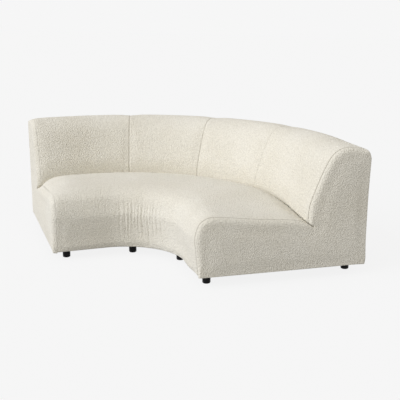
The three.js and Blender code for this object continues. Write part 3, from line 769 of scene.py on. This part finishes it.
def make_seat():
    places = along_steps(-END_SEAM + PRESS_GAP / 2, END_SEAM - PRESS_GAP / 2, SEAT_STEP)
    lines = hemmed(np.array([seat_line(along) for along in places]), places[:, None])
    columns = lines.shape[1]
    deck = DECK + 2 * CLEAR
    inner = [(SEAT_INNER_REAR, deck), (FRONT_FACE, deck), (FRONT_FACE, SEAT_INNER_FOOT)]
    last = columns - SEAT_TUCK - SEAT_REAR_HOLD
    firm = held_columns(columns, 0, SEAT_FRONT_HOLD, last, SEAT_REAR_HOLD)
    grid, inside, normals = settled_skin(places, lines, inner, firm, **SEAT_CLOTH)
    to_left, to_right = places - places[0], places[-1] - places
    grid = sink_towards(grid, normals, left_sink(to_left, lines) + end_profile(to_right)[:, None])
    grid = sink_towards(grid, normals, gather_depth(places[:, None], lines[..., 1], lines[..., 0]))
    # The last argument is the painted shade along the right end's seam
    return grid_piece("seat", grid, inside, seam_shade_at(to_right, EDGE_SEAM_SHADE_WIDTH)[:, None])


# Back: the step along the row, points in the tuck, on the seat and on the skin, points held

BACK_STEP = 0.0095
BACK_TUCK, BACK_REST, BACK_SKIN = 9, 10, 108
BACK_FOOT = BACK_TUCK + BACK_REST
BACK_FOOT_HOLD = 10
BACK_TOP_HELD, BACK_TOP_HOLD = 8, 7
BACK_SHOWN = 4
BACK_CLOTH = {"end_hold": 0.03, "pressure": 5.0, "limit": 0.006}


def back_line(along):
    """A cross-section of the back's cover, with its tuck down to the deck and its rest on the seat."""
    resting, upper = back_skin(along)
    rest = resample(resting, BACK_REST)
    tuck = np.linspace((TUCK_FOOT + CLEAR, DECK), rest[0], BACK_TUCK)
    skin = resample(upper, BACK_SKIN, BACK_PULL)
    return soften(np.concatenate([tuck[:-1], rest[:-1], skin]), BACK_FOOT - 2, *FOOT_SOFTNESS)


def panel_edge(distance, share):
    """How far a panel goes in towards a seam of the back, with the fold beside it, and the painted shade
    along that seam.
    """
    fold = FOLD_DEPTH * bell(distance - FOLD_PLACE, FOLD_HALF)
    sink = share * (seam_profile(distance, SEAM_WIDTH, SEAM_SINK) + fold)
    return sink[:, None], seam_shade_at(distance) * PANEL_SEAM_SHADE * share


def make_back_panel(number, start, end):
    places = along_steps(start + PRESS_GAP / 4, end - PRESS_GAP / 4, BACK_STEP)
    lines = np.array([back_line(along) for along in places])
    rows, columns = lines.shape[:2]
    inner = [
        (REAR_FACE, REAR_SEAM_HEIGHT), (REAR_FACE, RAIL_TOP),
        (BOARD_TOP, RAIL_TOP), (BOARD_FOOT, DECK + CLEAR),
    ]
    firm = held_columns(columns, BACK_FOOT, BACK_FOOT_HOLD, columns - BACK_TOP_HELD, BACK_TOP_HOLD)
    grid, inside, normals = settled_skin(places, lines, inner, firm, **BACK_CLOTH)
    from_start, from_end = places - places[0], places[-1] - places
    if number == 1:
        sink, painted_seam_shade = left_sink(from_start, lines), np.zeros(rows)
    else:
        sink, painted_seam_shade = panel_edge(from_start, PANEL_SEAM_SHARES[number - 2])
    if number == PANELS:
        end_sink, end_seam_shade = end_profile(from_end)[:, None], seam_shade_at(from_end, EDGE_SEAM_SHADE_WIDTH)
    else:
        end_sink, end_seam_shade = panel_edge(from_end, PANEL_SEAM_SHARES[number - 1])
    index = np.arange(columns)
    shown = smoothstep(index, BACK_FOOT - BACK_SHOWN, BACK_FOOT + BACK_SHOWN)
    grid = sink_towards(grid, normals, (sink + end_sink) * shown[None])
    rear_sink, rear_seam_shade = rear_seam(columns - 1 - index)
    grid = sink_towards(grid, normals, rear_sink)
    # Painted shade along the panel's side seams and its rear seam
    painted_seam_shade = np.maximum((painted_seam_shade + end_seam_shade)[:, None], rear_seam_shade)
    return grid_piece(f"back_panel_{number}", grid, inside, painted_seam_shade)


# Rear: the step along the row, points on the skin and under the frame, points held

REAR_STEP = 0.014
REAR_SKIN, REAR_UNDER = 76, 9
REAR_TOP_HOLD = 6
REAR_FOOT_HOLD = 8
REAR_CLOTH = {"end_hold": 0.05, "pressure": 4.0, "limit": 0.005}


def make_rear():
    places = along_steps(-END_SEAM + PRESS_GAP / 2, END_SEAM - PRESS_GAP / 2, REAR_STEP)
    skin = rear_skin()
    skin[0, 1] -= PRESS_GAP
    skin = resample(skin, REAR_SKIN, SKIN_PULL)
    under = np.linspace(skin[-1], (TUCK_REAR, UNDERSIDE), REAR_UNDER)
    line = soften(np.concatenate([skin, under[1:]]), REAR_SKIN - 1, *HEM_SOFTNESS)
    inner = [(REAR_FACE, UNDERSIDE + 2 * CLEAR), (REAR_FACE, REAR_SEAM_HEIGHT - PRESS_GAP)]
    firm = held_columns(len(line), 0, REAR_TOP_HOLD, REAR_SKIN - REAR_FOOT_HOLD, REAR_FOOT_HOLD)
    grid, inside, normals = settled_skin(places, line[None], inner, firm, **REAR_CLOTH)
    to_left, to_right = places - places[0], places[-1] - places
    rear_sink, rear_seam_shade = rear_seam(np.arange(len(line)))
    grid = sink_towards(grid, normals, left_sink(to_left, line) + end_profile(to_right)[:, None] + rear_sink)
    # Painted shade along the right end's seam and the rear seam
    painted_seam_shade = np.maximum(seam_shade_at(to_right, EDGE_SEAM_SHADE_WIDTH)[:, None], rear_seam_shade)
    return grid_piece("rear_panel", grid, inside, painted_seam_shade)


# Ends

ROLL_RINGS = 14
ROLL_PULL = 1.5
CAP_STEP = 0.012
CAP_CROWN = 0.003
CAP_CROWN_REACH = 0.05
CAP_HELD = (0.010, 0.060)
CAP_PRESSURE = 5.0
CAP_LIMIT = 0.005
MITRE_EASE = 0.011
MITRE_FLOOR = 0.36
BOTTOM_POINTS = 70
LATTICE_CLEAR = 0.55
HOLE_CLEAR = 0.3
MEET = 1e-7
FLAT = 1e-12


def end_outline(along):
    """The L-shaped outline at a way along the row: front, seat, notch, back, rear and bottom."""
    seat = resample(seat_skin(along), SEAT_SKIN, SKIN_PULL)
    resting, upper = back_skin(along)
    rest = resample(resting, BACK_REST)
    skin = resample(upper, BACK_SKIN, BACK_PULL)
    rear = resample(rear_skin(), REAR_SKIN, SKIN_PULL)
    bottom = resample(np.array([rear[-1], seat[0]]), BOTTOM_POINTS, BOTTOM_PULL)
    line = np.concatenate([seat, rest[:-1], skin[:-1], rear[:-1], bottom[:-1]])
    return hemmed(soften(line, SEAT_SKIN + BACK_REST - 1, *FOOT_SOFTNESS), along)


def inward_of(line):
    """Directions into a closed outline that runs front, top, rear, bottom, mitred and eased at corners."""
    way = np.roll(line, -1, axis=0) - line
    length = np.linalg.norm(way, axis=1)
    far = np.concatenate([[0], np.cumsum(length)])
    normal = np.stack([way[:, 1], -way[:, 0]], axis=1) / np.maximum(length, TINY)[:, None]
    middle = (far[:-1] + far[1:]) / 2
    apart = np.abs(far[:-1, None] - middle[None])
    apart = np.minimum(apart, far[-1] - apart)
    weight = np.exp(-(apart / MITRE_EASE) ** 2 / 2) * length[None]
    mean = weight @ normal / weight.sum(axis=1, keepdims=True)
    return mean / np.maximum((mean ** 2).sum(axis=1, keepdims=True), MITRE_FLOOR)


def inside_outline(points, line):
    """True for the points inside a closed outline, with each one's distance from it."""
    after = np.roll(line, -1, axis=0)
    edge = after - line
    x, y = points[:, 0, None], points[:, 1, None]
    right, up = x - line[:, 0], y - line[:, 1]
    crossing = (line[:, 1] > y) != (after[:, 1] > y)
    rise = np.where(edge[:, 1] == 0, FLAT, edge[:, 1])
    within = (crossing & (x < line[:, 0] + up * edge[:, 0] / rise)).sum(axis=1) % 2 == 1
    share = (right * edge[:, 0] + up * edge[:, 1]) / np.maximum((edge ** 2).sum(axis=1), FLAT)
    share = np.clip(share, 0, 1)
    far = np.hypot(right - share * edge[:, 0], up - share * edge[:, 1])
    return within, far.min(axis=1)


def lattice_in(outline, holes, step):
    """Points of a triangular lattice inside an outline and clear of its holes."""
    low, high = outline.min(axis=0), outline.max(axis=0)
    columns = np.arange(low[0], high[0], step)
    rows = np.arange(low[1], high[1], step * math.sqrt(3) / 2)
    lattice = np.array([(x + (step / 2 if i % 2 else 0), y) for i, y in enumerate(rows) for x in columns])
    within, far = inside_outline(lattice, outline)
    keep = within & (far > LATTICE_CLEAR * step)
    for hole in holes:
        within, far = inside_outline(lattice, hole)
        keep &= ~within & (far > HOLE_CLEAR * step)
    return lattice[keep]


def fill(line, step=None, holes=()):
    """Triangles that fill a closed outline around its holes, over all their points and a lattice between."""
    loops = [line, *holes]
    edges = []
    for loop in loops:
        start, size = len(edges), len(loop)
        edges += [(start + i, start + (i + 1) % size) for i in range(size)]
    lattice = lattice_in(line, holes, step) if step else np.zeros((0, 2))
    everything = np.concatenate([*loops, lattice])
    corners = [tuple(point) for point in everything]
    made = geometry.delaunay_2d_cdt(corners, edges, [list(range(len(line)))], 1, MEET)
    source = [group[0] if group else -1 for group in made[3]]
    if -1 in source:
        raise RuntimeError("an outline crosses itself")
    faces = [[source[i] for i in face] for face in made[2]]
    for hole in holes:
        middles = np.array([everything[face].mean(axis=0) for face in faces])
        within, _ = inside_outline(middles, hole)
        faces = [face for face, inner in zip(faces, within) if not inner]
    return lattice, faces


def rolled_ring(side, turn, share, slope):
    """How far out one ring of an end's edge lies, how far in from the outline, and the painted shade of its
    seam.
    """
    if side > 0:
        angle = math.pi / 2 * turn
        out = EDGE_ROLL * math.sin(angle)
        inset = EDGE_ROUND * (1 - math.cos(angle)) * share + end_profile(out)
        return out, inset, seam_shade_at(out, EDGE_SEAM_SHADE_WIDTH)
    first = math.asin(SHOULDER_REACH / SHOULDER_WIDTH)
    out = SHOULDER_WIDTH * math.sin(first + (math.pi / 2 - first) * turn) - SHOULDER_REACH
    inset = (shoulder(SHOULDER_REACH + out) + slope * out * (1 - out / (2 * EDGE_ROLL))) * share
    return out, inset, 0.0


def make_end(name, side):
    """An end's panel: its edge rolls over from the seam to a flat, slightly swollen face."""
    outline = end_outline(side * END_SEAM)
    further_in = end_outline(side * (END_SEAM - SLOPE_STEP))
    share = roll_share(outline)
    into = inward_of(outline)
    slope = np.clip(((outline - further_in) * into).sum(axis=1) / SLOPE_STEP, 0, STEEPEST_SLOPE)
    count = len(outline)
    rings, shade = [], []
    for i in range(ROLL_RINGS):
        out, inset, painted_seam_shade = rolled_ring(side, (i / (ROLL_RINGS - 1)) ** ROLL_PULL, share, slope)
        rings.append((END_SEAM + (out if i else PRESS_GAP / 2), outline + into * inset[:, None]))
        shade += [painted_seam_shade] * count
    flat = rings[-1][1]
    lattice, cap = fill(flat, CAP_STEP)
    _, far = inside_outline(lattice, flat)
    crown = CAP_CROWN * (1 - np.exp(-far / CAP_CROWN_REACH))
    points = [place(side * along, line[:, 0], line[:, 1]) for along, line in rings]
    points.append(place(side * (HALF_LENGTH + crown), lattice[:, 0], lattice[:, 1]))
    points = np.concatenate(points)
    faces = [list(face) for face in ring_faces(ROLL_RINGS, count)]
    start = (ROLL_RINGS - 1) * count
    faces += [[start + i for i in face] for face in cap]
    faces += fill(rings[0][1])[1]
    held = np.ones(len(points))
    held[count * ROLL_RINGS:] = 1 - smoothstep(far, *CAP_HELD)
    moved = relaxed(points, faces, held, CAP_PRESSURE, CAP_LIMIT)
    points = points + moved * (1 - held)[:, None]
    return new_piece(name, points, faces, FABRIC, shade + [0.0] * len(lattice))


# Legs

LEG_NAMES = [
    "front_left", "front_mid_left", "front_mid_right", "front_right",
    "rear_left", "rear_mid_left", "rear_mid_right", "rear_right",
]
LEG_TURNS = 48
FOOT_FLAT = 0.009
FOOT_ROUND = 0.007
FOOT_STEPS = 6
BARREL_START = 0.020
GROOVE_DEPTH = 0.0006
GROOVE_DROPS = (0.0075, 0.0070, 0.0062, 0.0057)
COLLAR_EDGE = 0.001


def leg_profile(radius, top):
    """Radius and height at the rings of a leg, from the flat of its foot to its top."""
    profile = [(radius - FOOT_FLAT, 0.0)]
    for step in range(FOOT_STEPS + 1):
        angle = math.pi / 2 * step / FOOT_STEPS
        out, up = FOOT_ROUND * math.sin(angle), FOOT_ROUND * math.cos(angle)
        profile.append((radius - FOOT_ROUND + out, FOOT_ROUND - up))
    profile.append((radius, BARREL_START))
    for drop, depth in zip(GROOVE_DROPS, (0, GROOVE_DEPTH, GROOVE_DEPTH, 0)):
        profile.append((radius - depth, top - drop))
    return [*profile, (radius, top - COLLAR_EDGE), (radius - COLLAR_EDGE, top)]


def make_leg(name):
    """A turned leg: rounded foot, straight barrel, a fine groove and a collar under the frame."""
    low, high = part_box(f"leg_{name}")
    centre = (low + high) / 2
    profile = leg_profile((high.x - low.x) / 2, high.z)
    points = [(centre.x, centre.y, 0.0)]
    for radius, height in profile:
        for turn in range(LEG_TURNS):
            angle = 2 * math.pi * turn / LEG_TURNS
            points.append((centre.x + radius * math.cos(angle), centre.y + radius * math.sin(angle), height))
    points.append((centre.x, centre.y, high.z))
    last = len(points) - 1
    faces = [list(face) for face in ring_faces(len(profile), LEG_TURNS) + 1]
    for turn in range(LEG_TURNS):
        after = (turn + 1) % LEG_TURNS
        faces.append([0, 1 + after, 1 + turn])
        faces.append([last - LEG_TURNS + turn, last - LEG_TURNS + after, last])
    piece = new_piece(f"foot_{name}", points, faces, FINISHES["leg_plastic"])
    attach(piece, "root")
    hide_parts(f"leg_{name}")


# Dust sheet

DUST_TOP = 0.0625
DUST_THICKNESS = 0.0012
DUST_SAG = 0.005
DUST_STEP = 0.030
DUST_MARGIN = 0.0005
DUST_LONG_STEPS = 72
DUST_SHORT_STEPS = 30
DUST_END_FADE = (0.02, 0.12)
SEAM_SAG = 0.35
RAIL_INNER_FRONT = 0.165
RAIL_INNER_REAR = 0.875
BOLT_HOLE = 0.006
HOLE_POINTS = 16
LEG_INSET = 0.080
FRONT_LEG_END = 0.095
REAR_LEG_END = 0.124
LEG_ANGLES = (math.radians(-24), math.radians(20.5))


def leg_places():
    """Way along and depth of each leg."""
    middle = [angle * MIDDLE_RADIUS for angle in LEG_ANGLES]
    places = []
    for from_end, depth in ((FRONT_LEG_END, LEG_INSET), (REAR_LEG_END, BODY_DEPTH - LEG_INSET)):
        places += [(way, depth) for way in (from_end - HALF_LENGTH, *middle, HALF_LENGTH - from_end)]
    return places


def dust_outline():
    """The sheet's edge, once around."""
    end, front, rear = END_SEAM - DUST_MARGIN, TUCK_FRONT + DUST_MARGIN, TUCK_REAR - DUST_MARGIN
    ways = np.linspace(-end, end, DUST_LONG_STEPS + 1)
    depths = np.linspace(front, rear, DUST_SHORT_STEPS + 1)
    return np.concatenate([
        np.stack([ways[:-1], np.full(DUST_LONG_STEPS, front)], 1),
        np.stack([np.full(DUST_SHORT_STEPS, end), depths[:-1]], 1),
        np.stack([ways[:0:-1], np.full(DUST_LONG_STEPS, rear)], 1),
        np.stack([np.full(DUST_SHORT_STEPS, -end), depths[:0:-1]], 1),
    ])


def dust_sag(flat):
    """How far the sheet hangs down at its points: most between the rails and between the ribs."""
    across = np.clip((flat[:, 1] - RAIL_INNER_FRONT) / (RAIL_INNER_REAR - RAIL_INNER_FRONT), 0, 1)
    bays = np.interp(flat[:, 0], PANEL_EDGES, range(len(PANEL_EDGES)))
    sag = DUST_SAG * np.sin(math.pi * across) * (SEAM_SAG + (1 - SEAM_SAG) * np.abs(np.sin(math.pi * bays)))
    return sag * smoothstep(END_SEAM - np.abs(flat[:, 0]), *DUST_END_FADE)


def make_dust_sheet():
    """The black cloth under the frame: stapled to the rails, sagging a little between them."""
    line = dust_outline()
    turn = np.linspace(0, 2 * math.pi, HOLE_POINTS, endpoint=False)
    holes = []
    for way, depth in leg_places():
        scale = (FRONT_RADIUS + depth) / MIDDLE_RADIUS if abs(way) < BEND_END else 1.0
        holes.append(np.stack([way + BOLT_HOLE * np.cos(turn) / scale, depth + BOLT_HOLE * np.sin(turn)], 1))
    lattice, faces = fill(line, DUST_STEP, holes)
    flat = np.concatenate([line, *holes, lattice])
    sag = dust_sag(flat)
    sides = [place(flat[:, 0], flat[:, 1], DUST_TOP - drop - sag) for drop in (0, DUST_THICKNESS)]
    count = len(flat)
    both = [[i + layer for i in face] for layer in (0, count) for face in faces]
    start = 0
    for loop in (line, *holes):
        size = len(loop)
        for i in range(size):
            a, b = start + i, start + (i + 1) % size
            both.append([a, b, b + count, a + count])
        start += size
    piece = new_piece("dust_sheet", np.concatenate(sides), both, FINISHES["nonwoven"])
    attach(piece, "root")
    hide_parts("dust_cover")


def dress(piece, *stood_for):
    """Puts a padded piece on the frame in place of its nodes."""
    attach(piece, "root")
    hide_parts(*stood_for)


# Studio

SKY_COLOUR = (0.962, 0.935, 0.893, 1)
SKY_STRENGTH = 0.575
SKY_WHITE = 0.922
FLOOR_WHITE = 0.983
FLOOR_GREY = 0.50
FLOOR_PLAIN_SHARE = 0.88
FLOOR_HALF = 30.0
KEY_STRENGTH = 2.18
KEY_COLOUR = (0.983, 1.0, 1.07)
KEY_WIDTH = math.radians(50)
KEY_PLACE = (-3.0, -4.0, 4.5)
KEY_TURN = (math.radians(57), 0, math.atan2(-0.28, 0.40))
CAMERA_PLACE = (2.505, -4.3773, 1.585)
CAMERA_TURN = (math.radians(90 - 14.29), 0, math.atan2(0.4745, 0.8802))
SENSOR_WIDTH = 36.0
PHOTO_WIDTH = 400
FOCAL_PIXELS = 786.5


def seen_share(tree):
    """1 for the rays that show the background: the camera's, and those of gloss and glass."""
    path = tree.nodes.new("ShaderNodeLightPath")
    seen = path.outputs["Is Camera Ray"]
    for kind in ("Is Glossy Ray", "Is Transmission Ray"):
        either = tree.nodes.new("ShaderNodeMath")
        either.operation = "MAXIMUM"
        tree.links.new(seen, either.inputs[0])
        tree.links.new(path.outputs[kind], either.inputs[1])
        seen = either.outputs["Value"]
    return seen


def mixed(tree, share, first, second):
    """One shader blended into another by a plain share or an output."""
    mix = tree.nodes.new("ShaderNodeMixShader")
    for value, socket in zip((share, first, second), mix.inputs):
        connect(tree, value, socket)
    return mix.outputs["Shader"]


def shown_plain(tree, light, kind, white):
    """The background that is seen is plain white; the light on the object is the given shader's."""
    plain = tree.nodes.new(kind)
    plain.inputs["Strength"].default_value = 1.0
    plain.inputs["Color"].default_value = (white, white, white, 1)
    return mixed(tree, seen_share(tree), light, plain.outputs[0])


def make_world():
    world = bpy.data.worlds.new("studio")
    scene.world = world
    world.use_nodes = True
    tree = world.node_tree
    light = tree.nodes["Background"]
    light.inputs["Color"].default_value = SKY_COLOUR
    light.inputs["Strength"].default_value = SKY_STRENGTH
    shown = shown_plain(tree, light.outputs["Background"], "ShaderNodeBackground", SKY_WHITE)
    tree.links.new(shown, tree.nodes["World Output"].inputs["Surface"])


def make_floor():
    """A pale floor that is nearly all plain white to the camera, so the object's shadow stays faint."""
    corners = [(x * FLOOR_HALF, y * FLOOR_HALF, 0) for x, y in ((-1, -1), (1, -1), (1, 1), (-1, 1))]
    mesh = new_mesh("floor", corners, [(0, 1, 2, 3)])
    material = bpy.data.materials.new("floor_white")
    material.use_nodes = True
    tree = material.node_tree
    shader = tree.nodes["Principled BSDF"]
    shader.inputs["Base Color"].default_value = (FLOOR_GREY, FLOOR_GREY, FLOOR_GREY, 1)
    shader.inputs["Roughness"].default_value = 1.0
    shader.inputs["Specular IOR Level"].default_value = 0.0
    lit = shader.outputs["BSDF"]
    white = shown_plain(tree, lit, "ShaderNodeEmission", FLOOR_WHITE)
    shown = mixed(tree, FLOOR_PLAIN_SHARE, lit, white)
    tree.links.new(shown, tree.nodes["Material Output"].inputs["Surface"])
    mesh.materials.append(material)
    new_object("floor", mesh)


def make_key():
    """One wide soft light from the front left, above the camera's height."""
    data = bpy.data.lights.new("key", "SUN")
    data.energy = KEY_STRENGTH
    data.angle = KEY_WIDTH
    data.color = KEY_COLOUR
    lamp = new_object("key", data)
    lamp.location = KEY_PLACE
    lamp.rotation_euler = KEY_TURN


def make_camera():
    data = bpy.data.cameras.new("camera")
    data.sensor_width = SENSOR_WIDTH
    data.lens = FOCAL_PIXELS / PHOTO_WIDTH * SENSOR_WIDTH
    camera = new_object("camera", data)
    camera.location = CAMERA_PLACE
    camera.rotation_euler = CAMERA_TURN
    scene.camera = camera


# Building

finish_nodes()
dress(make_seat(), "seat_cover", "seat_foam")
for panel in range(1, PANELS + 1):
    back_panel = make_back_panel(panel, PANEL_EDGES[panel - 1], PANEL_EDGES[panel])
    dress(back_panel, f"back_cover_{panel}", f"back_foam_{panel}")
dress(make_rear(), "outer_back_cover", "outer_back_padding")
dress(make_end("end_panel_left", -1), "end_cover_left", "end_padding_left")
dress(make_end("end_panel_right", 1), "end_cover_right", "end_padding_right")
for leg_name in LEG_NAMES:
    make_leg(leg_name)
make_dust_sheet()

make_world()
make_floor()
make_key()
make_camera()
scene.view_settings.view_transform = "Standard"
